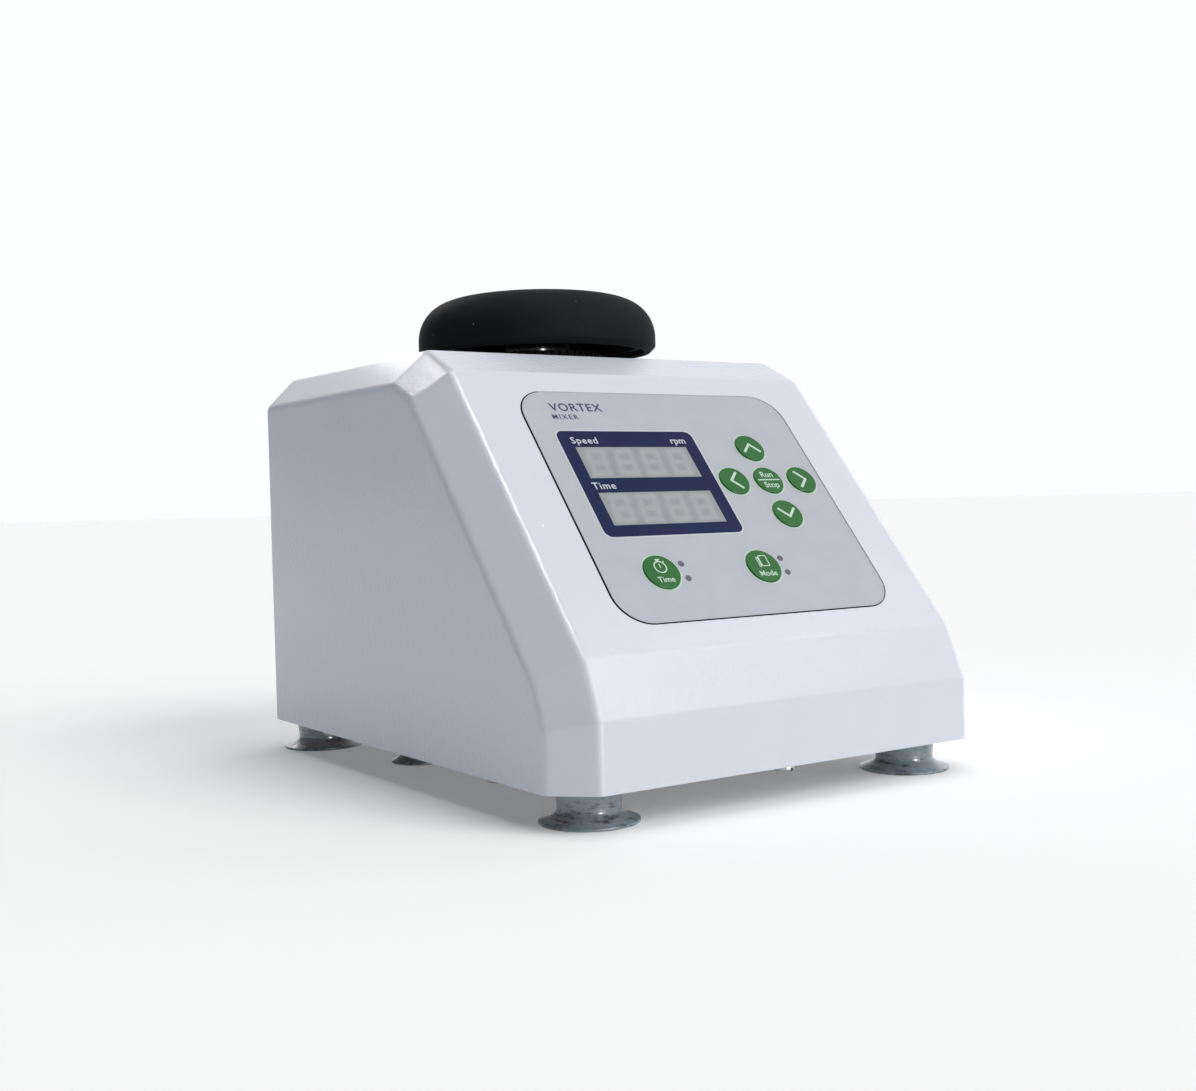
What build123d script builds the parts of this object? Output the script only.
from build123d import *
import math
import os

# Vortex mixer, in millimetres. +Z is up, +X is to the right of someone who
# faces the keypad, and +Y runs from the keypad to the rear panel. The origin is
# on the bench, at the centre of the mixer's outline seen from above.

# ---------------------------------------------------------------- housing ---
HOUSING_WIDTH = 150.0
HOUSING_DEPTH = 190.9
HOUSING_HEIGHT = 118.7
FOOT_HEIGHT = 10.0
WALL = 3.0
EDGE_CHAMFER = 10.3
EDGE_RADIUS = 3.5
LIP_HEIGHT = 18.0           # upright band under the toe
TOE_DEPTH = 6.4             # where the keypad slope starts
TOE_HEIGHT = 33.5
SLOPE_ANGLE = 50.0
SLOPE_LENGTH = 101.6
BROW_DEPTH = 86.8           # where the flat roof starts
OPEN_END = 20.0             # extra length of the envelope, cut off again
ROOF_HOLE_RADIUS = 14.5

# ------------------------------------------------------------------- feet ---
FOOT_RADIUS = 13.4
FOOT_WAIST_RADIUS = 8.5
FOOT_NECK_RADIUS = 9.3
FOOT_WAIST_HEIGHT = 5.4
FOOT_HOLLOW_HEIGHT = 3.2
FOOT_EDGE = 0.9             # thickness of the rim and width of the sole
FRONT_FOOT_X = 57.0
FRONT_FOOT_DEPTH = 17.5
REAR_FOOT_X = 60.5
REAR_FOOT_DEPTH = 181.5
MIDDLE_FOOT_X = 50.0
MIDDLE_FOOT_DEPTH = 129.0
MIDDLE_FOOT_SCALE = 0.66
STUD_RADIUS = 2.0
STUD_BORE_BOTTOM = 6.0
STUD_RISE = 5.0             # above the base plate
NUT_RADIUS = 4.0
NUT_HEIGHT = 3.2

# ------------------------------------------------------------- base plate ---
PLATE_THICKNESS = 2.0
PLATE_GAP = 0.3
BOSS_RADIUS = 4.5
BOSS_HEIGHT = 12.0
BASE_SCREW_RADIUS = 1.6
SCREW_HEAD_RADIUS = 3.2
SCREW_HEAD_HEIGHT = 2.2
SCREW_HEAD_ROUND = 0.8
SCREW_SLOT_WIDTH = 0.8
SCREW_SLOT_DEPTH = 1.0
BASE_SCREW_SPOTS = [(-68.5, 45), (68.5, 45), (-68.5, 155), (68.5, 155), (0, 6.5), (0, 184.4)]
VENT_SIZE = (36.0, 3.0)
VENT_DEPTHS = [88, 94, 100, 106, 150, 156, 162, 168]

# ------------------------------------------------------------ keypad slope ---
RECESS_DEPTH = 1.0
OVERLAY_THICKNESS = 0.75
OVERLAY_CENTRE = (0.8, 51.3)
OVERLAY_SIZE = (97.5, 84.8)
OVERLAY_CORNER = 10.0
RECESS_GAP = 0.35
FILM_FIT = 0.06             # a printed part is this much smaller than its opening
BEZEL_CENTRE = (-15.7, 58.45)
BEZEL_SIZE = (48.6, 39.8)
BEZEL_CORNER = 2.5
WINDOW_SIZE = (39.6, 12.0)
WINDOW_X = -15.7
SPEED_WINDOW_UP = 66.1
TIMER_WINDOW_UP = 48.7
DISPLAY_SIZE = (40.2, 12.8)
DISPLAY_DEPTH = 7.0
DISPLAY_GAP = 0.4
CURSOR_CENTRE = (28.4, 58.0)
CURSOR_STEP = 13.3
CURSOR_KEY_RADIUS = 5.15
FUNCTION_KEY_RADIUS = 5.75
TIMER_KEY = (-27.9, 25.6)
MODE_KEY = (8.15, 25.6)
KEY_TRAVEL = 0.4
KEY_GAP = 0.15
KEY_PROUD = 0.35
KEY_THICKNESS = 0.7
KEY_ROUND = 0.3
STEM_RADIUS = 1.7
STEM_END = 2.6              # above the control board
STEM_HOLE_RADIUS = 2.3
LAMP_RADIUS = 0.95
LAMP_PROUD = 0.1            # above the film
LAMP_SPOTS = [(-19.9, 28.3), (-19.9, 23.2), (16.0, 28.3), (16.0, 23.2)]

# ---------------------------------------------------------- control board ---
BOARD_LEVEL = -8.3          # face of the board, measured from the slope
BOARD_THICKNESS = 1.6
BOARD_SIZE = (92.0, 80.0)
BOARD_CENTRE = (0.8, 50.0)
BOARD_CORNER = 2.0
STANDOFF_SPOTS = [(-41.2, 14), (42.8, 14), (-41.2, 86), (42.8, 86)]
STANDOFF_RADIUS = 3.0
STANDOFF_BORE = 1.5
BOARD_HOLE_RADIUS = 1.6
BOARD_SCREW_RADIUS = 1.45
BOARD_SCREW_HEAD = (2.8, 2.0)   # radius and height
SWITCH_SIZE = 6.0
SWITCH_HEIGHT = 4.0
RUNNING_FIT = 0.05

# ------------------------------------------------------------ power board ---
POWER_BOARD_DEPTHS = (22.0, 78.0)
POWER_BOARD_HALF_WIDTH = 50.0
POWER_BOARD_Z = 20.0
POWER_STANDOFF_SPOTS = [(-45, 27), (45, 27), (-45, 73), (45, 73)]
TRANSFORMER_CENTRE = (25.0, 56.0)
CORE_SIZE = (26.0, 24.0, 26.0)
WINDING_SIZE = (20.0, 30.0, 18.0)
CAPACITOR_RADIUS = 6.0
CAPACITOR_HEIGHT = 20.0
CAPACITOR_SPOTS = [(-36, 60), (-21, 60)]
RIBBON_HALF_WIDTH = 11.0
RIBBON_THICKNESS = 0.9
RIBBON_START = 22.0         # up the slope
RIBBON_DROP = 9.0           # from the board to the first bend
RIBBON_KNEE_Z = 38.0
RIBBON_FOOT_DEPTH = 37.0
RIBBON_BEND_RADIUS = 4.0

# ------------------------------------------------------------------ drive ---
DRIVE_DEPTH = 127.85        # motor axis, from the front face
ORBIT_RADIUS = 2.0          # offset of the head axis from the motor axis
PRESS_TRAVEL = 1.5
SHAFT_RADIUS = 4.0
SHAFT_BOTTOM = 26.1
SHAFT_TOP = 107.5
CAN_RADIUS = 28.0
CAN_WALL = 1.5
CAN_BOTTOM = 40.0
CAN_TOP = 95.0
END_CAP_THICKNESS = 3.0
BUSH_RADIUS = 8.0
BUSH_SEAT_RADIUS = 10.0
LOWER_SEAT_HEIGHT = 8.0
UPPER_SEAT_HEIGHT = 5.0
STATOR_BOTTOM = 55.0
STATOR_TOP = 82.0
ROTOR_RADIUS = 14.2
AIR_GAP = 0.6
COIL_HEIGHT = 5.0
COIL_STEP = 1.5             # the windings are this much narrower than the core
MOTOR_PLATE_SIZE = 84.0
MOTOR_PLATE_THICKNESS = 3.0
MOTOR_PLATE_CORNER = 6.0
SPACER_OFFSET = 35.0
SPACER_RADIUS = 5.0
SPACER_BORE = 2.1
GROMMET_RADIUS = 7.0
GROMMET_THICKNESS = 2.0
MOTOR_SCREW_RADIUS = 2.0
MOTOR_SCREW_HEAD = (3.8, 3.0)   # radius and height
MOTOR_SCREW_REACH = 12.0    # into the pillar
HUB_BOTTOM = 103.0
HUB_TOP = 116.0
HUB_RADIUS = 19.0
COUNTERWEIGHT_RADIUS = 26.0
COUNTERWEIGHT_HEIGHT = 6.0
COUNTERWEIGHT_START = 6.0   # in front of the motor axis
BEARING_RADIUS = 11.0
BEARING_GROOVE = (8.6, 6.4, 0.6)    # outer and inner radius, and depth
BEARING_BOTTOM = 108.6
BEARING_WIDTH = 7.0
ORBIT_PLATE_BOTTOM = 119.5
ORBIT_PLATE_THICKNESS = 3.0
ORBIT_PLATE_RADIUS = 25.5
SPINDLE_RADIUS = 6.0
SPINDLE_TOP = 139.0
PIN_CIRCLE_RADIUS = 18.0
PIN_RADIUS = 2.5
PIN_BOTTOM = 117.2
PIN_COUNT = 3
PIN_PLAY = 0.1
PIN_COVER = 1.2             # roof left above each pin
COLLAR_RADIUS = 20.8
COLLAR_HEIGHT = 4.2
COLLAR_RIBS = 48
RIB_GAP = 1.2
RIB_DEPTH = 0.8
RIB_FOOT = 0.6              # plain band under the ribs

# ------------------------------------------------------------------- head ---
HEAD_RADIUS = 40.4
HEAD_GAP = 4.8              # under the rim, above the roof
HEAD_RISE = 24.3            # crown of the head, above the roof
HEAD_WALL_TOP = 9.8         # where the crown starts, above the roof
HEAD_SHOULDERS = [(37.6, 17.9), (32.0, 22.1)]   # radius and height above the roof
HEAD_LIP = 1.8              # bevel under the rim
HEAD_SKIRT_RADIUS = 36.6
HEAD_CEILING = 143.0
CUP_RADIUS = 18.0
CUP_DEPTH = 6.0
HEAD_PLATE_THICKNESS = 3.0
HEAD_PLATE_RIM = (2.3, 4.5)     # width and height of the dish's rim
HEAD_BOSS_RADIUS = 11.0
HEAD_BOSS_OVERLAP = 3.8     # of the boss and the spindle
HEAD_SCREW_RADIUS = 2.5
HEAD_SCREW_HEAD = (4.5, 2.0)    # radius and height
HEX_SOCKET = (2.0, 1.5)     # radius and depth

# ------------------------------------------------------------ touch switch ---
GUIDE_RADIUS = 9.0
GUIDE_BORE = 6.6
GUIDE_TOP = 27.0
THRUST_CUP_BOTTOM = 21.0
THRUST_CUP_TOP = 33.0
GUIDE_FLOOR = 1.5
SPRING_RADIUS = 4.6
SPRING_WIRE = 0.5
SPRING_PITCH = 1.9
ARM_BOTTOM = 29.0
ARM_WIDTH = 5.0
ARM_THICKNESS = 2.5
ARM_REACH = 3.0             # past the plunger
TOUCH_SWITCH_X = (16.0, 36.0)
TOUCH_SWITCH_WIDTH = 6.4
TOUCH_SWITCH_GAP = 3.0      # under the arm
PLUNGER_X = 21.0
PLUNGER_RADIUS = 1.2
PLUNGER_LENGTH = 5.0
PLUNGER_SPARE = 0.3         # travel left when the head is down

# -------------------------------------------------------------- rear panel ---
INLET_X = 32.0
ROCKER_X = -32.0
PANEL_Z = 50.0
INLET_SIZE = (27.0, 31.0)
INLET_FLANGE = (32.0, 37.0)
INLET_CORNER = 2.5
PANEL_FIT = 0.4             # an opening in the rear panel is this much larger
FLANGE_THICKNESS = 2.0
INLET_BODY_DEPTH = 23.0
SOCKET_SIZE = (24.0, 16.4)
SOCKET_RISE = 5.5
SOCKET_DEPTH = 17.0
SOCKET_BEVEL = 4.0
CONTACT_SIZE = (2.0, 4.0)
CONTACT_SPOTS = [(-7, -2.0), (7, -2.0), (0, 2.5)]   # from the socket's middle
CONTACT_SET_BACK = 1.5
CONTACT_ROOT = 4.0          # into the inlet's body
DRAWER_SIZE = (21.6, 7.0)
DRAWER_DROP = 10.0
DRAWER_LENGTH = 20.7
DRAWER_FIT = 0.3
DRAWER_PROUD = 0.6
FINGER_LIP = (8.0, 1.8, 1.6)    # width, reach and height
FUSE_RADIUS = 2.6
FUSE_LENGTH = 20.0
ROCKER_FRAME = (15.0, 22.0)
ROCKER_BODY = (13.0, 20.0)
ROCKER_CAVITY = (11.4, 18.0)
ROCKER_SIZE = (10.8, 15.6)
ROCKER_BODY_DEPTH = 19.0
ROCKER_CAVITY_DEPTH = 11.0
ROCKER_FRAME_CORNER = 1.5
ROCKER_TILT = 8.0
TRUNNION_RADIUS = 1.0
TRUNNION_BITE = 0.7         # longer than the cavity is wide
ROCKER_PIVOT_DEPTH = 4.0    # pivot, in front of the rear panel's outer face

# --------------------------------------------------------- derived places ---
OVERALL_DEPTH = REAR_FOOT_DEPTH + FOOT_RADIUS
FRONT_Y = -OVERALL_DEPTH / 2
REAR_Y = FRONT_Y + HOUSING_DEPTH
ROOF_Z = FOOT_HEIGHT + HOUSING_HEIGHT
ROOF_UNDERSIDE = ROOF_Z - WALL
PLATE_TOP = FOOT_HEIGHT + PLATE_THICKNESS
DRIVE_Y = FRONT_Y + DRIVE_DEPTH
HEAD_Y = DRIVE_Y + ORBIT_RADIUS
MOTOR_PLATE_Z = CAN_TOP + END_CAP_THICKNESS
SPACER_BOTTOM = MOTOR_PLATE_Z + MOTOR_PLATE_THICKNESS + GROMMET_THICKNESS
SLOPE_RADIANS = math.radians(SLOPE_ANGLE)
SLOPE = Plane(
    origin=(0, FRONT_Y + TOE_DEPTH, FOOT_HEIGHT + TOE_HEIGHT),
    x_dir=(1, 0, 0),
    z_dir=(0, -math.sin(SLOPE_RADIANS), math.cos(SLOPE_RADIANS)),
)
BOTTOM_ALIGN = (Align.CENTER, Align.CENTER, Align.MIN)
HEAD_RIM_Z = ROOF_Z + HEAD_GAP
HEAD_TOP_Z = ROOF_Z + HEAD_RISE


# ------------------------------------------------------------ small shapes ---
def rod(radius, low, high, x=0, y=0):
    """An upright cylinder between two heights."""
    return Pos(x, y, low) * Cylinder(radius, high - low, align=BOTTOM_ALIGN)


def ring(outer, inner, low, high, x=0, y=0):
    """An upright tube between two heights."""
    return rod(outer, low, high, x, y) - rod(inner, low, high, x, y)


def block(x_range, y_range, z_range):
    """A box between two corners."""
    size = [high - low for low, high in (x_range, y_range, z_range)]
    middle = [(high + low) / 2 for low, high in (x_range, y_range, z_range)]
    return Pos(*middle) * Box(*size)


def around(centre, size):
    """The range of a given size about a centre."""
    return (centre - size / 2, centre + size / 2)


def slope_plate(centre, size, low, high, corner=0.0):
    """A rounded plate on the keypad slope, between two levels."""
    outline = RectangleRounded(*size, corner) if corner else Rectangle(*size)
    return SLOPE * Pos(*centre, low) * extrude(outline, high - low)


def slope_rod(radius, centre, low, high):
    """A round piece that stands square to the keypad slope."""
    return SLOPE * rod(radius, low, high, *centre)


def depth(distance):
    """Y of a place that lies so far behind the front face."""
    return FRONT_Y + distance


def group(solids):
    """Separate solids kept as one piece."""
    return Compound(children=list(solids))


def key_spots():
    """Name, centre and radius of every key."""
    x, up = CURSOR_CENTRE
    return {
        "key_up": ((x, up + CURSOR_STEP), CURSOR_KEY_RADIUS),
        "key_left": ((x - CURSOR_STEP, up), CURSOR_KEY_RADIUS),
        "key_run_stop": ((x, up), CURSOR_KEY_RADIUS),
        "key_right": ((x + CURSOR_STEP, up), CURSOR_KEY_RADIUS),
        "key_down": ((x, up - CURSOR_STEP), CURSOR_KEY_RADIUS),
        "key_timer": (TIMER_KEY, FUNCTION_KEY_RADIUS),
        "key_mode": (MODE_KEY, FUNCTION_KEY_RADIUS),
    }


def foot_spots():
    """Centre and scale of every suction foot."""
    return {
        "foot_front_left": (-FRONT_FOOT_X, depth(FRONT_FOOT_DEPTH), 1.0),
        "foot_front_right": (FRONT_FOOT_X, depth(FRONT_FOOT_DEPTH), 1.0),
        "foot_rear_left": (-REAR_FOOT_X, depth(REAR_FOOT_DEPTH), 1.0),
        "foot_rear_right": (REAR_FOOT_X, depth(REAR_FOOT_DEPTH), 1.0),
        "middle_left": (-MIDDLE_FOOT_X, depth(MIDDLE_FOOT_DEPTH), MIDDLE_FOOT_SCALE),
        "middle_right": (MIDDLE_FOOT_X, depth(MIDDLE_FOOT_DEPTH), MIDDLE_FOOT_SCALE),
    }


# ----------------------------------------------------------------- housing ---
def envelope(inset):
    """The wedge-shaped outside of the housing, moved inwards by an inset."""
    top_of_slope = (
        TOE_DEPTH + SLOPE_LENGTH * math.cos(SLOPE_RADIANS),
        TOE_HEIGHT + SLOPE_LENGTH * math.sin(SLOPE_RADIANS),
    )
    outline = Polyline(
        (0, -OPEN_END),
        (0, LIP_HEIGHT),
        (TOE_DEPTH, TOE_HEIGHT),
        top_of_slope,
        (BROW_DEPTH, HOUSING_HEIGHT),
        (HOUSING_DEPTH, HOUSING_HEIGHT),
        (HOUSING_DEPTH, -OPEN_END),
        close=True,
    )
    side = offset(make_face(outline), -inset, kind=Kind.INTERSECTION) if inset else make_face(outline)
    half = HOUSING_WIDTH / 2 - inset
    wedge = Pos(0, FRONT_Y, FOOT_HEIGHT) * extrude(Plane.YZ * side, half, both=True)
    rims = [
        edge for edge in wedge.edges()
        if abs(abs(edge.center().X) - half) < 0.01
        and edge.center().Y < REAR_Y - inset - 0.1
        and edge.center().Z > FOOT_HEIGHT - OPEN_END + inset + 0.1
    ]
    return chamfer(rims, EDGE_CHAMFER - inset * (2 - math.sqrt(2)))


def display_openings():
    """Clear spaces for the two number displays."""
    size = [side + 2 * DISPLAY_GAP for side in DISPLAY_SIZE]
    return [
        slope_plate((WINDOW_X, up), size, -2 * WALL, 0)
        for up in (SPEED_WINDOW_UP, TIMER_WINDOW_UP)
    ]


def housing():
    """Die-cast cover: one shell with an open bottom."""
    shell = offset(envelope(EDGE_RADIUS), EDGE_RADIUS, kind=Kind.ARC) - envelope(WALL)
    shell -= block((-200, 200), (-200, 200), (-200, FOOT_HEIGHT))
    for x, back in BASE_SCREW_SPOTS:
        shell += rod(BOSS_RADIUS, PLATE_TOP, PLATE_TOP + BOSS_HEIGHT, x, depth(back))
        shell -= rod(BASE_SCREW_RADIUS, PLATE_TOP, PLATE_TOP + BOSS_HEIGHT, x, depth(back))
    recess = [side + 2 * RECESS_GAP for side in OVERLAY_SIZE]
    shell -= slope_plate(OVERLAY_CENTRE, recess, -RECESS_DEPTH, 5, OVERLAY_CORNER + RECESS_GAP)
    shell -= display_openings()
    for centre, _ in key_spots().values():
        shell -= slope_rod(STEM_HOLE_RADIUS, centre, -2 * WALL, 0)
    for centre in LAMP_SPOTS:
        shell -= slope_rod(LAMP_RADIUS + KEY_GAP, centre, -2 * WALL, 0)
    shell -= rod(ROOF_HOLE_RADIUS, ROOF_UNDERSIDE - 1, ROOF_Z + 1, 0, DRIVE_Y)
    for x, y in pin_places():
        shell -= rod(PIN_RADIUS, ROOF_UNDERSIDE - 1, ROOF_Z - PIN_COVER, x, y)
    rear = (REAR_Y - 2 * WALL, REAR_Y + 1)
    for x, (width, height) in ((INLET_X, INLET_SIZE), (ROCKER_X, ROCKER_BODY)):
        shell -= block(around(x, width + PANEL_FIT), rear, around(PANEL_Z, height + PANEL_FIT))
    return shell


def base_plate():
    """Steel sheet that closes the bottom and carries the feet."""
    cavity = envelope(WALL + PLATE_GAP)
    plate = cavity & block((-200, 200), (-200, 200), (FOOT_HEIGHT, PLATE_TOP))
    for x, back in BASE_SCREW_SPOTS:
        plate -= rod(BASE_SCREW_RADIUS + 0.2, FOOT_HEIGHT, PLATE_TOP, x, depth(back))
    for x, y, _ in foot_spots().values():
        plate -= rod(STUD_RADIUS + 0.1, FOOT_HEIGHT, PLATE_TOP, x, y)
    for back in VENT_DEPTHS:
        plate -= Pos(0, depth(back), FOOT_HEIGHT) * extrude(SlotOverall(*VENT_SIZE), PLATE_THICKNESS)
    return plate


def base_screws():
    """Pan-head screws that hold the base plate to the housing bosses."""
    head_z = FOOT_HEIGHT - SCREW_HEAD_HEIGHT
    head = rod(SCREW_HEAD_RADIUS, head_z, FOOT_HEIGHT)
    head = fillet(head.edges().group_by(Axis.Z)[0], SCREW_HEAD_ROUND)
    slot_range = (head_z, head_z + SCREW_SLOT_DEPTH)
    head -= block(around(0, SCREW_SLOT_WIDTH), around(0, 3 * SCREW_HEAD_RADIUS), slot_range)
    screw = head + rod(BASE_SCREW_RADIUS - RUNNING_FIT, FOOT_HEIGHT, PLATE_TOP + BOSS_HEIGHT - 2)
    return group(Pos(x, depth(back), 0) * screw for x, back in BASE_SCREW_SPOTS)


def pin_places():
    """Centres of the guide pins, on a circle about the motor axis."""
    turns = [math.radians(90 + 360 * step / PIN_COUNT) for step in range(PIN_COUNT)]
    return [
        (PIN_CIRCLE_RADIUS * math.cos(turn), DRIVE_Y + PIN_CIRCLE_RADIUS * math.sin(turn))
        for turn in turns
    ]


# -------------------------------------------------------------------- feet ---
def suction_foot(x, y, scale):
    """Rubber cup: a thin flared rim, a waist, a neck and a hollow underside."""
    rim = FOOT_RADIUS * scale
    waist = FOOT_WAIST_RADIUS * scale
    neck = FOOT_NECK_RADIUS * scale
    inside = rim - FOOT_EDGE
    side = Line((rim, 0), (rim, FOOT_EDGE))
    flare_middle = (waist + 0.32 * (rim - waist), FOOT_WAIST_HEIGHT / 2)
    flare = ThreePointArc((rim, FOOT_EDGE), flare_middle, (waist, FOOT_WAIST_HEIGHT))
    swell_middle = (waist + 0.15, (FOOT_WAIST_HEIGHT + FOOT_HEIGHT) / 2)
    swell = ThreePointArc((waist, FOOT_WAIST_HEIGHT), swell_middle, (neck, FOOT_HEIGHT))
    top = Line((neck, FOOT_HEIGHT), (0, FOOT_HEIGHT))
    axis = Line((0, FOOT_HEIGHT), (0, FOOT_HOLLOW_HEIGHT))
    hollow_middle = (0.6 * rim, 0.6 * FOOT_HOLLOW_HEIGHT)
    hollow = ThreePointArc((0, FOOT_HOLLOW_HEIGHT), hollow_middle, (inside, 0))
    sole = Line((inside, 0), (rim, 0))
    profile = make_face([side, flare, swell, top, axis, hollow, sole])
    cup = revolve(Plane.XZ * profile, Axis.Z)
    return Pos(x, y, 0) * cup - rod(STUD_RADIUS, STUD_BORE_BOTTOM, FOOT_HEIGHT, x, y)


def middle_feet():
    """The pair of smaller cups under the motor."""
    spots = foot_spots()
    return group(suction_foot(*spots[name]) for name in ("middle_left", "middle_right"))


def foot_studs():
    """Threaded stud and nut that hold each cup to the base plate."""
    solids = []
    for x, y, _ in foot_spots().values():
        nut = Pos(x, y, PLATE_TOP) * extrude(RegularPolygon(NUT_RADIUS, 6), NUT_HEIGHT)
        shank = rod(STUD_RADIUS - 0.03, STUD_BORE_BOTTOM + 0.1, PLATE_TOP + STUD_RISE, x, y)
        solids.append(shank + nut)
    return group(solids)


# ------------------------------------------------------------ keypad slope ---
def keypad_overlay():
    """Printed film in the slope's recess, with a hole for each key and lamp."""
    top = OVERLAY_THICKNESS - RECESS_DEPTH
    film = slope_plate(OVERLAY_CENTRE, OVERLAY_SIZE, -RECESS_DEPTH, top, OVERLAY_CORNER)
    film -= slope_plate(BEZEL_CENTRE, BEZEL_SIZE, -RECESS_DEPTH, top, BEZEL_CORNER)
    for centre, radius in key_spots().values():
        film -= slope_rod(radius + KEY_GAP, centre, -RECESS_DEPTH, top)
    for centre in LAMP_SPOTS:
        film -= slope_rod(LAMP_RADIUS + RUNNING_FIT, centre, -RECESS_DEPTH, top)
    return film


def display_bezel():
    """Navy frame of the two display windows."""
    top = OVERLAY_THICKNESS - RECESS_DEPTH
    size = [side - FILM_FIT for side in BEZEL_SIZE]
    frame = slope_plate(BEZEL_CENTRE, size, -RECESS_DEPTH, top + 0.05, BEZEL_CORNER)
    for up in (SPEED_WINDOW_UP, TIMER_WINDOW_UP):
        frame -= slope_plate((WINDOW_X, up), WINDOW_SIZE, -RECESS_DEPTH, top + 0.05)
    return frame


def display_window(up):
    """Frosted pane over one number display."""
    top = OVERLAY_THICKNESS - RECESS_DEPTH
    size = [side - FILM_FIT for side in WINDOW_SIZE]
    return slope_plate((WINDOW_X, up), size, -RECESS_DEPTH, top)


def number_display(up):
    """Four-digit light display, soldered to the control board."""
    front = BOARD_LEVEL + DISPLAY_DEPTH
    return slope_plate((WINDOW_X, up), DISPLAY_SIZE, BOARD_LEVEL, front)


def key(centre, radius):
    """Domed key cap on a stem that reaches into its switch."""
    cap_base = KEY_PROUD - KEY_THICKNESS
    cap = rod(radius, cap_base, KEY_PROUD)
    cap = fillet(cap.edges().group_by(Axis.Z)[-1], KEY_ROUND)
    stem = rod(STEM_RADIUS, BOARD_LEVEL + STEM_END, cap_base)
    return SLOPE * Pos(*centre, 0) * (cap + stem)


def tact_switches():
    """Seven push switches on the control board, each with a bore for its stem."""
    bore_bottom = BOARD_LEVEL + STEM_END - KEY_TRAVEL - KEY_GAP
    solids = []
    for centre, _ in key_spots().values():
        body = slope_plate(centre, (SWITCH_SIZE, SWITCH_SIZE), BOARD_LEVEL, BOARD_LEVEL + SWITCH_HEIGHT)
        solids.append(body - slope_rod(STEM_RADIUS + RUNNING_FIT, centre, bore_bottom, 0))
    return group(solids)


def indicator_lamps():
    """Four light pins beside the function keys."""
    top = OVERLAY_THICKNESS - RECESS_DEPTH + LAMP_PROUD
    return group(slope_rod(LAMP_RADIUS, centre, BOARD_LEVEL, top) for centre in LAMP_SPOTS)


def control_board():
    """Circuit board behind the slope."""
    back = BOARD_LEVEL - BOARD_THICKNESS
    board = slope_plate(BOARD_CENTRE, BOARD_SIZE, back, BOARD_LEVEL, BOARD_CORNER)
    for centre in STANDOFF_SPOTS:
        board -= slope_rod(BOARD_HOLE_RADIUS, centre, back, BOARD_LEVEL)
    return board


def board_standoffs():
    """Brass pillars under both circuit boards."""
    slope_pillars = [
        slope_rod(STANDOFF_RADIUS, centre, BOARD_LEVEL, -WALL)
        - slope_rod(STANDOFF_BORE, centre, BOARD_LEVEL, -WALL - 1)
        for centre in STANDOFF_SPOTS
    ]
    floor_pillars = [
        ring(STANDOFF_RADIUS, STANDOFF_BORE, PLATE_TOP, POWER_BOARD_Z, x, depth(back))
        for x, back in POWER_STANDOFF_SPOTS
    ]
    return group(slope_pillars + floor_pillars)


def board_screws():
    """Small screws through the corners of both circuit boards."""
    head_radius, head_height = BOARD_SCREW_HEAD
    back = BOARD_LEVEL - BOARD_THICKNESS
    solids = [
        slope_rod(BOARD_SCREW_RADIUS, centre, back, -WALL - 1.5)
        + slope_rod(head_radius, centre, back - head_height, back)
        for centre in STANDOFF_SPOTS
    ]
    board_top = POWER_BOARD_Z + BOARD_THICKNESS
    for x, distance in POWER_STANDOFF_SPOTS:
        shank = rod(BOARD_SCREW_RADIUS, PLATE_TOP + 1, board_top, x, depth(distance))
        head = rod(head_radius, board_top, board_top + head_height, x, depth(distance))
        solids.append(shank + head)
    return group(solids)


# ------------------------------------------------------------- power board ---
def power_board():
    """Circuit board of the motor drive and power supply, above the base."""
    near, far = POWER_BOARD_DEPTHS
    board = block(
        (-POWER_BOARD_HALF_WIDTH, POWER_BOARD_HALF_WIDTH),
        (depth(near), depth(far)),
        (POWER_BOARD_Z, POWER_BOARD_Z + BOARD_THICKNESS),
    )
    for x, distance in POWER_STANDOFF_SPOTS:
        top = POWER_BOARD_Z + BOARD_THICKNESS
        board -= rod(BOARD_HOLE_RADIUS, POWER_BOARD_Z, top, x, depth(distance))
    return board


def transformer():
    """Small mains transformer: a core with a wound middle."""
    x, distance = TRANSFORMER_CENTRE
    floor = POWER_BOARD_Z + BOARD_THICKNESS
    core = Pos(x, depth(distance), floor) * Box(*CORE_SIZE, align=BOTTOM_ALIGN)
    winding = Pos(x, depth(distance), floor + CORE_SIZE[2] / 2) * Box(*WINDING_SIZE)
    return core + winding


def capacitors():
    """Upright smoothing capacitors."""
    floor = POWER_BOARD_Z + BOARD_THICKNESS
    can = rod(CAPACITOR_RADIUS, floor, floor + CAPACITOR_HEIGHT)
    can = fillet(can.edges().group_by(Axis.Z)[-1], 0.8)
    return group(Pos(x, depth(distance), 0) * can for x, distance in CAPACITOR_SPOTS)


def ribbon_cable():
    """Flat cable from the control board down to the power board."""
    board_back = BOARD_LEVEL - BOARD_THICKNESS
    start = (SLOPE * Pos(0, RIBBON_START, board_back)).position
    knee = (SLOPE * Pos(0, RIBBON_START, board_back - RIBBON_DROP)).position
    foot_y = depth(RIBBON_FOOT_DEPTH)
    path = FilletPolyline(
        (start.Y, start.Z),
        (knee.Y, knee.Z),
        (foot_y, RIBBON_KNEE_Z),
        (foot_y, POWER_BOARD_Z + BOARD_THICKNESS),
        radius=RIBBON_BEND_RADIUS,
    )
    return extrude(Plane.YZ * trace(path, RIBBON_THICKNESS), RIBBON_HALF_WIDTH, both=True)


# ------------------------------------------------------------------- motor ---
def spacer_places():
    """Centres of the four pillars that hang the motor from the roof."""
    steps = (-SPACER_OFFSET, SPACER_OFFSET)
    return [(x, DRIVE_Y + y) for x in steps for y in steps]


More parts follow.
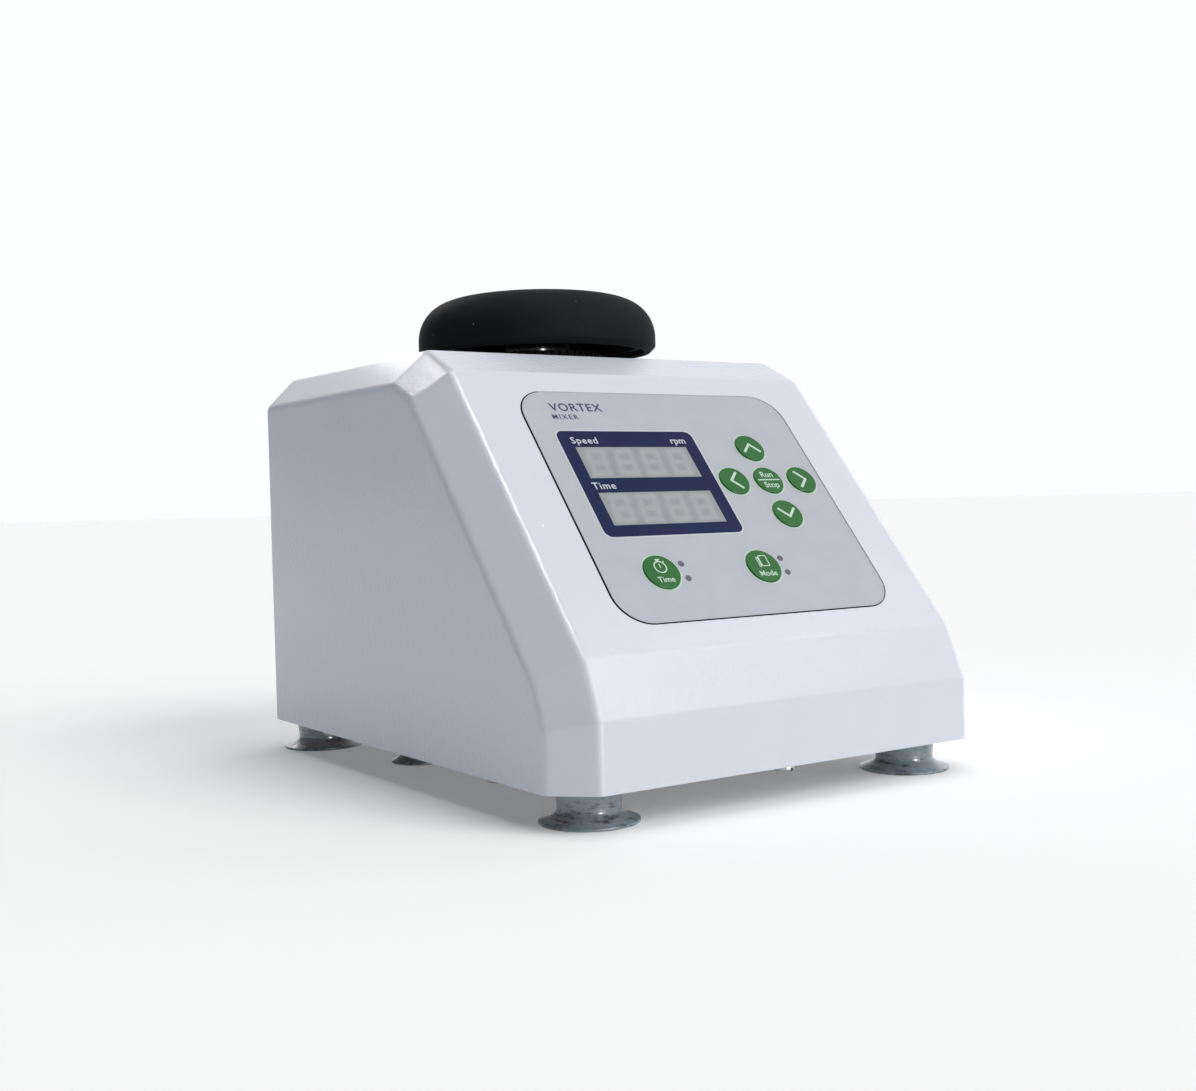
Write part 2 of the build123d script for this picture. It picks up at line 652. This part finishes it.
def motor_plate():
    """Steel plate that the motor hangs on."""
    top = MOTOR_PLATE_Z + MOTOR_PLATE_THICKNESS
    outline = RectangleRounded(MOTOR_PLATE_SIZE, MOTOR_PLATE_SIZE, MOTOR_PLATE_CORNER)
    plate = Pos(0, DRIVE_Y, MOTOR_PLATE_Z) * extrude(outline, MOTOR_PLATE_THICKNESS)
    plate -= rod(BUSH_SEAT_RADIUS, MOTOR_PLATE_Z, top, 0, DRIVE_Y)
    for x, y in spacer_places():
        plate -= rod(SPACER_BORE, MOTOR_PLATE_Z, top, x, y)
    return plate


def motor_spacers():
    """Four pillars from the roof to the motor plate."""
    return group(
        ring(SPACER_RADIUS, SPACER_BORE, SPACER_BOTTOM, ROOF_UNDERSIDE, x, y)
        for x, y in spacer_places()
    )


def motor_grommets():
    """Rubber rings that keep the motor's shaking out of the housing."""
    low = SPACER_BOTTOM - GROMMET_THICKNESS
    return group(
        ring(GROMMET_RADIUS, SPACER_BORE, low, SPACER_BOTTOM, x, y) for x, y in spacer_places()
    )


def motor_screws():
    """Screws up through the motor plate into the pillars."""
    head_radius, head_height = MOTOR_SCREW_HEAD
    screw = rod(MOTOR_SCREW_RADIUS, MOTOR_PLATE_Z, SPACER_BOTTOM + MOTOR_SCREW_REACH)
    screw += rod(head_radius, MOTOR_PLATE_Z - head_height, MOTOR_PLATE_Z)
    return group(Pos(x, y, 0) * screw for x, y in spacer_places())


def motor_can():
    """Drawn steel can with a seat for the lower bush."""
    seat_top = CAN_BOTTOM + LOWER_SEAT_HEIGHT
    can = rod(CAN_RADIUS, CAN_BOTTOM, CAN_TOP, 0, DRIVE_Y)
    can -= rod(CAN_RADIUS - CAN_WALL, CAN_BOTTOM + CAN_WALL, CAN_TOP, 0, DRIVE_Y)
    can += rod(BUSH_SEAT_RADIUS, CAN_BOTTOM + CAN_WALL, seat_top, 0, DRIVE_Y)
    can -= rod(SHAFT_RADIUS + 0.5, CAN_BOTTOM, seat_top, 0, DRIVE_Y)
    return can - rod(BUSH_RADIUS, CAN_BOTTOM + CAN_WALL, seat_top, 0, DRIVE_Y)


def motor_end_cap():
    """Upper end of the motor, with a seat for the upper bush."""
    cap = rod(CAN_RADIUS, CAN_TOP, MOTOR_PLATE_Z, 0, DRIVE_Y)
    cap += rod(BUSH_SEAT_RADIUS, CAN_TOP - UPPER_SEAT_HEIGHT, CAN_TOP, 0, DRIVE_Y)
    return cap - rod(BUSH_RADIUS, CAN_TOP - UPPER_SEAT_HEIGHT, MOTOR_PLATE_Z, 0, DRIVE_Y)


def motor_bushes():
    """Bronze sleeves in which the shaft turns and slides."""
    bore = SHAFT_RADIUS + RUNNING_FIT
    heights = [
        (CAN_BOTTOM + CAN_WALL, CAN_BOTTOM + LOWER_SEAT_HEIGHT),
        (CAN_TOP - UPPER_SEAT_HEIGHT, MOTOR_PLATE_Z),
    ]
    return group(ring(BUSH_RADIUS, bore, low, high, 0, DRIVE_Y) for low, high in heights)


def stator():
    """Laminated ring with its copper windings above and below."""
    outer = CAN_RADIUS - CAN_WALL - 0.1
    core = ring(outer, ROTOR_RADIUS + AIR_GAP, STATOR_BOTTOM, STATOR_TOP, 0, DRIVE_Y)
    coils = [
        ring(outer - COIL_STEP, ROTOR_RADIUS + COIL_STEP, low, low + COIL_HEIGHT, 0, DRIVE_Y)
        for low in (STATOR_BOTTOM - COIL_HEIGHT, STATOR_TOP)
    ]
    return core + coils


def motor_shaft():
    """Steel shaft through the motor, with rounded ends."""
    shaft = rod(SHAFT_RADIUS, SHAFT_BOTTOM, SHAFT_TOP, 0, DRIVE_Y)
    return fillet(shaft.edges(), 0.4)


def rotor_core():
    """Iron core pressed on the shaft."""
    return ring(ROTOR_RADIUS, SHAFT_RADIUS, STATOR_BOTTOM, STATOR_TOP, 0, DRIVE_Y)


def eccentric_hub():
    """Hub on the shaft: an off-centre bearing seat and a balancing weight."""
    hub = rod(HUB_RADIUS, HUB_BOTTOM, HUB_TOP, 0, DRIVE_Y)
    weight = rod(COUNTERWEIGHT_RADIUS, HUB_BOTTOM, HUB_BOTTOM + COUNTERWEIGHT_HEIGHT, 0, DRIVE_Y)
    front_part = (DRIVE_Y - COUNTERWEIGHT_RADIUS, DRIVE_Y - COUNTERWEIGHT_START)
    weight &= block(around(0, 2 * COUNTERWEIGHT_RADIUS), front_part, (HUB_BOTTOM, HUB_TOP))
    hub += weight
    hub -= rod(SHAFT_RADIUS, HUB_BOTTOM, SHAFT_TOP + 0.3, 0, DRIVE_Y)
    return hub - rod(BEARING_RADIUS, BEARING_BOTTOM, HUB_TOP, 0, HEAD_Y)


def head_bearing():
    """Ball bearing that lets the head circle without turning."""
    top = BEARING_BOTTOM + BEARING_WIDTH
    race = ring(BEARING_RADIUS, SHAFT_RADIUS + RUNNING_FIT, BEARING_BOTTOM, top, 0, HEAD_Y)
    outer, inner, groove_depth = BEARING_GROOVE
    return race - ring(outer, inner, top - groove_depth, top, 0, HEAD_Y)


# -------------------------------------------------------------------- head ---
def head_spindle():
    """Spindle with its guide disc, whose holes run around the guide pins."""
    disc_top = ORBIT_PLATE_BOTTOM + ORBIT_PLATE_THICKNESS
    spindle = rod(SHAFT_RADIUS, BEARING_BOTTOM + 0.6, ORBIT_PLATE_BOTTOM, 0, HEAD_Y)
    spindle += rod(ORBIT_PLATE_RADIUS, ORBIT_PLATE_BOTTOM, disc_top, 0, HEAD_Y)
    spindle += rod(SPINDLE_RADIUS, disc_top, SPINDLE_TOP, 0, HEAD_Y)
    for x, y in pin_places():
        hole = PIN_RADIUS + ORBIT_RADIUS + PIN_PLAY
        spindle -= rod(hole, ORBIT_PLATE_BOTTOM, disc_top, x, y + ORBIT_RADIUS)
    return spindle - rod(HEAD_SCREW_RADIUS, SPINDLE_TOP - 10, SPINDLE_TOP, 0, HEAD_Y)


def guide_pins():
    """Steel pins in the roof that stop the head from turning."""
    top = ROOF_Z - PIN_COVER - 0.1
    return group(rod(PIN_RADIUS - 0.01, PIN_BOTTOM, top, x, y) for x, y in pin_places())


def drive_collar():
    """Ribbed rubber collar round the opening in the roof."""
    top = ROOF_Z + COLLAR_HEIGHT
    collar = rod(COLLAR_RADIUS, ROOF_Z, top, 0, DRIVE_Y)
    collar += rod(ROOF_HOLE_RADIUS - 0.05, ROOF_UNDERSIDE, ROOF_Z, 0, DRIVE_Y)
    collar -= rod(SPINDLE_RADIUS + ORBIT_RADIUS + 2, ROOF_UNDERSIDE, top, 0, DRIVE_Y)
    groove_range = (COLLAR_RADIUS - RIB_DEPTH, COLLAR_RADIUS + 1)
    groove = block(groove_range, around(0, RIB_GAP), (ROOF_Z + RIB_FOOT, top))
    grooves = [
        Pos(0, DRIVE_Y, 0) * Rot(0, 0, 360 * step / COLLAR_RIBS) * groove
        for step in range(COLLAR_RIBS)
    ]
    return collar - grooves


def head_plate():
    """Aluminium dish inside the head, with a boss that sits on the spindle."""
    low = HEAD_CEILING - HEAD_PLATE_THICKNESS
    radius = HEAD_SKIRT_RADIUS - 0.1
    rim_width, rim_height = HEAD_PLATE_RIM
    screw_head_radius, screw_head_height = HEAD_SCREW_HEAD
    boss_bottom = SPINDLE_TOP - HEAD_BOSS_OVERLAP
    plate = rod(radius, low, HEAD_CEILING, 0, HEAD_Y)
    plate += ring(radius, radius - rim_width, low - rim_height, low, 0, HEAD_Y)
    plate += rod(HEAD_BOSS_RADIUS, boss_bottom, low, 0, HEAD_Y)
    plate -= rod(SPINDLE_RADIUS, boss_bottom, SPINDLE_TOP, 0, HEAD_Y)
    plate -= rod(HEAD_SCREW_RADIUS + 0.1, SPINDLE_TOP, HEAD_CEILING, 0, HEAD_Y)
    seat_bottom = HEAD_CEILING - screw_head_height
    return plate - rod(screw_head_radius + 0.1, seat_bottom, HEAD_CEILING, 0, HEAD_Y)


def head_screw():
    """Screw that holds the dish to the spindle."""
    head_radius, head_height = HEAD_SCREW_HEAD
    socket_radius, socket_depth = HEX_SOCKET
    head_bottom = HEAD_CEILING - head_height
    shank = rod(HEAD_SCREW_RADIUS - 0.03, SPINDLE_TOP - 9, head_bottom, 0, HEAD_Y)
    head = rod(head_radius, head_bottom, HEAD_CEILING - 0.1, 0, HEAD_Y)
    socket = extrude(RegularPolygon(socket_radius, 6), socket_depth)
    return shank + head - Pos(0, HEAD_Y, HEAD_CEILING - socket_depth) * socket


def head_cup():
    """Rubber head: a domed cushion with a hollow for the tube and a hollow underside."""
    wall_top = ROOF_Z + HEAD_WALL_TOP
    shoulders = [(radius, ROOF_Z + rise) for radius, rise in HEAD_SHOULDERS]
    dome = Spline(
        (HEAD_RADIUS, wall_top), *shoulders, (CUP_RADIUS, HEAD_TOP_Z), tangents=[(0, 1), (-1, 0.02)]
    )
    lip = Line((HEAD_RADIUS - HEAD_LIP, HEAD_RIM_Z), (HEAD_RADIUS, HEAD_RIM_Z + HEAD_LIP))
    wall = Line((HEAD_RADIUS, HEAD_RIM_Z + HEAD_LIP), (HEAD_RADIUS, wall_top))
    crown = Line((CUP_RADIUS, HEAD_TOP_Z), (0, HEAD_TOP_Z))
    axis = Line((0, HEAD_TOP_Z), (0, HEAD_CEILING))
    ceiling = Line((0, HEAD_CEILING), (HEAD_SKIRT_RADIUS, HEAD_CEILING))
    skirt = Line((HEAD_SKIRT_RADIUS, HEAD_CEILING), (HEAD_SKIRT_RADIUS, HEAD_RIM_Z))
    rim = Line((HEAD_SKIRT_RADIUS, HEAD_RIM_Z), (HEAD_RADIUS - HEAD_LIP, HEAD_RIM_Z))
    profile = make_face([dome, lip, wall, crown, axis, ceiling, skirt, rim])
    cushion = revolve(Plane.XZ * profile, Axis.Z)
    cup_sphere = (CUP_RADIUS**2 + CUP_DEPTH**2) / (2 * CUP_DEPTH)
    cushion -= Pos(0, 0, HEAD_TOP_Z - CUP_DEPTH + cup_sphere) * Sphere(cup_sphere)
    return Pos(0, HEAD_Y, 0) * cushion


# ------------------------------------------------------------ touch switch ---
def spring_guide():
    """Cup on the base plate that holds the return spring."""
    guide = rod(GUIDE_RADIUS, PLATE_TOP, GUIDE_TOP, 0, DRIVE_Y)
    return guide - rod(GUIDE_BORE, PLATE_TOP + GUIDE_FLOOR, GUIDE_TOP, 0, DRIVE_Y)


def return_spring():
    """Coil spring that lifts the shaft and head."""
    low = PLATE_TOP + GUIDE_FLOOR + SPRING_WIRE
    height = THRUST_CUP_BOTTOM - SPRING_WIRE - low
    coil = Helix(SPRING_PITCH, height, SPRING_RADIUS)
    section = Plane(origin=coil @ 0, z_dir=coil % 0) * Circle(SPRING_WIRE)
    return Pos(0, DRIVE_Y, low) * sweep(section, coil, is_frenet=True)


def thrust_cup():
    """Cup under the shaft's end, with an arm over the touch switch."""
    cup = rod(GUIDE_BORE - 0.1, THRUST_CUP_BOTTOM, THRUST_CUP_TOP, 0, DRIVE_Y)
    arm_range = (ARM_BOTTOM, ARM_BOTTOM + ARM_THICKNESS)
    cup += block((0, PLUNGER_X + ARM_REACH), around(DRIVE_Y, ARM_WIDTH), arm_range)
    return cup - rod(SHAFT_RADIUS + RUNNING_FIT, SHAFT_BOTTOM - 0.05, THRUST_CUP_TOP, 0, DRIVE_Y)


def touch_switch():
    """Micro switch that the pressed head works."""
    top = ARM_BOTTOM - TOUCH_SWITCH_GAP
    bore_bottom = ARM_BOTTOM - PLUNGER_LENGTH - PRESS_TRAVEL - PLUNGER_SPARE
    body = block(TOUCH_SWITCH_X, around(DRIVE_Y, TOUCH_SWITCH_WIDTH), (PLATE_TOP, top))
    return body - rod(PLUNGER_RADIUS + RUNNING_FIT, bore_bottom, top, PLUNGER_X, DRIVE_Y)


def switch_plunger():
    """Pin between the arm and the micro switch."""
    return rod(PLUNGER_RADIUS, ARM_BOTTOM - PLUNGER_LENGTH, ARM_BOTTOM, PLUNGER_X, DRIVE_Y)


# -------------------------------------------------------------- rear panel ---
def inlet_pin_blocks():
    """The three flat contacts of the mains inlet."""
    y_range = (REAR_Y - SOCKET_DEPTH - CONTACT_ROOT, REAR_Y - CONTACT_SET_BACK)
    width, height = CONTACT_SIZE
    middle = PANEL_Z + SOCKET_RISE
    return [
        block(around(INLET_X + x, width), y_range, around(middle + up, height))
        for x, up in CONTACT_SPOTS
    ]


def power_inlet():
    """Mains inlet with a fuse drawer below its socket."""
    outer = REAR_Y + FLANGE_THICKNESS
    x_range = around(INLET_X, INLET_SIZE[0])
    inlet = block(x_range, (REAR_Y - INLET_BODY_DEPTH, REAR_Y), around(PANEL_Z, INLET_SIZE[1]))
    flange = block(
        around(INLET_X, INLET_FLANGE[0]), (REAR_Y, outer), around(PANEL_Z, INLET_FLANGE[1])
    )
    inlet += fillet(flange.edges().filter_by(Axis.Y), INLET_CORNER)
    socket = block(
        around(INLET_X, SOCKET_SIZE[0]),
        (REAR_Y - SOCKET_DEPTH, outer),
        around(PANEL_Z + SOCKET_RISE, SOCKET_SIZE[1]),
    )
    inlet -= chamfer(socket.edges().filter_by(Axis.Y).group_by(Axis.Z)[-1], SOCKET_BEVEL)
    inlet -= block(
        around(INLET_X, DRAWER_SIZE[0] + DRAWER_FIT),
        (outer - DRAWER_LENGTH - DRAWER_FIT, outer),
        around(PANEL_Z - DRAWER_DROP, DRAWER_SIZE[1] + DRAWER_FIT),
    )
    return inlet - inlet_pin_blocks()


def inlet_pins():
    """The three contacts as one set."""
    return group(inlet_pin_blocks())


def fuse_drawer():
    """Sliding fuse carrier with a finger lip."""
    outer = REAR_Y + FLANGE_THICKNESS
    middle = PANEL_Z - DRAWER_DROP
    drawer = block(
        around(INLET_X, DRAWER_SIZE[0]),
        (outer - DRAWER_LENGTH, outer + DRAWER_PROUD),
        around(middle, DRAWER_SIZE[1]),
    )
    lip_width, lip_reach, lip_height = FINGER_LIP
    lip_range = (middle + lip_height, middle + 2 * lip_height)
    drawer += block(around(INLET_X, lip_width), (outer, outer + lip_reach), lip_range)
    y_range = around(outer - DRAWER_LENGTH / 2, 2 * FUSE_RADIUS + 0.4)
    z_range = (middle - FUSE_RADIUS - 0.1, middle + DRAWER_SIZE[1])
    bed = block(around(INLET_X, FUSE_LENGTH + 0.4), y_range, z_range)
    return drawer - bed


def fuse():
    """Glass fuse in the drawer."""
    y = REAR_Y + FLANGE_THICKNESS - DRAWER_LENGTH / 2
    return Pos(INLET_X, y, PANEL_Z - DRAWER_DROP) * Rot(0, 90, 0) * Cylinder(FUSE_RADIUS, FUSE_LENGTH)


def rocker_frame():
    """Frame and body of the mains switch."""
    outer = REAR_Y + FLANGE_THICKNESS
    y_ranges = [
        (REAR_Y - ROCKER_BODY_DEPTH, REAR_Y),
        (REAR_Y, outer),
        (REAR_Y - ROCKER_CAVITY_DEPTH, outer),
    ]
    body, bezel, cavity = (
        block(around(ROCKER_X, width), y_range, around(PANEL_Z, height))
        for (width, height), y_range in zip((ROCKER_BODY, ROCKER_FRAME, ROCKER_CAVITY), y_ranges)
    )
    frame = body + fillet(bezel.edges().filter_by(Axis.Y), ROCKER_FRAME_CORNER) - cavity
    pivot = Pos(ROCKER_X, REAR_Y - ROCKER_PIVOT_DEPTH, PANEL_Z) * Rot(0, 90, 0)
    hole_length = ROCKER_CAVITY[0] + TRUNNION_BITE + 0.2
    return frame - pivot * Cylinder(TRUNNION_RADIUS + RUNNING_FIT, hole_length)


def power_rocker():
    """Rocking paddle of the mains switch, tipped to its off side."""
    half = ROCKER_SIZE[1] / 2
    outline = Polyline(
        (2.5, -half), (6.2, -half), (5.2, 0), (6.2, half), (2.5, half), (-3.5, 0), close=True
    )
    paddle = extrude(Plane.YZ * make_face(outline), ROCKER_SIZE[0] / 2, both=True)
    trunnion = Rot(0, 90, 0) * Cylinder(TRUNNION_RADIUS, ROCKER_CAVITY[0] + TRUNNION_BITE)
    turned = Rot(-ROCKER_TILT, 0, 0) * (paddle + trunnion)
    return Pos(ROCKER_X, REAR_Y - ROCKER_PIVOT_DEPTH, PANEL_Z) * turned


# ------------------------------------------------------------------ output ---
def pieces():
    """Every sub-part by the name of its file."""
    corner_feet = {name: spot for name, spot in foot_spots().items() if name.startswith("foot")}
    made = {name: suction_foot(*spot) for name, spot in corner_feet.items()}
    made |= {name: key(centre, radius) for name, (centre, radius) in key_spots().items()}
    made |= {
        "speed_window": display_window(SPEED_WINDOW_UP),
        "timer_window": display_window(TIMER_WINDOW_UP),
        "speed_display": number_display(SPEED_WINDOW_UP),
        "timer_display": number_display(TIMER_WINDOW_UP),
    }
    single = [
        housing, base_plate, base_screws, middle_feet, foot_studs, keypad_overlay, display_bezel,
        tact_switches, indicator_lamps, control_board, board_standoffs, board_screws,
        power_board, transformer, capacitors, ribbon_cable, motor_plate,
        motor_spacers, motor_grommets, motor_screws, motor_can, motor_end_cap,
        motor_bushes, stator, motor_shaft, rotor_core, eccentric_hub, head_bearing,
        head_spindle, guide_pins, drive_collar, head_plate, head_screw, head_cup,
        spring_guide, return_spring, thrust_cup, touch_switch, switch_plunger,
        power_inlet, inlet_pins, fuse_drawer, fuse, rocker_frame, power_rocker,
    ]
    made |= {make.__name__: make() for make in single}
    return made


os.makedirs("parts", exist_ok=True)
for name, shape in pieces().items():
    export_step(shape, f"parts/{name}.step")
    print(f"{name}: {len(shape.solids())} solids, {shape.volume:.0f} mm3")
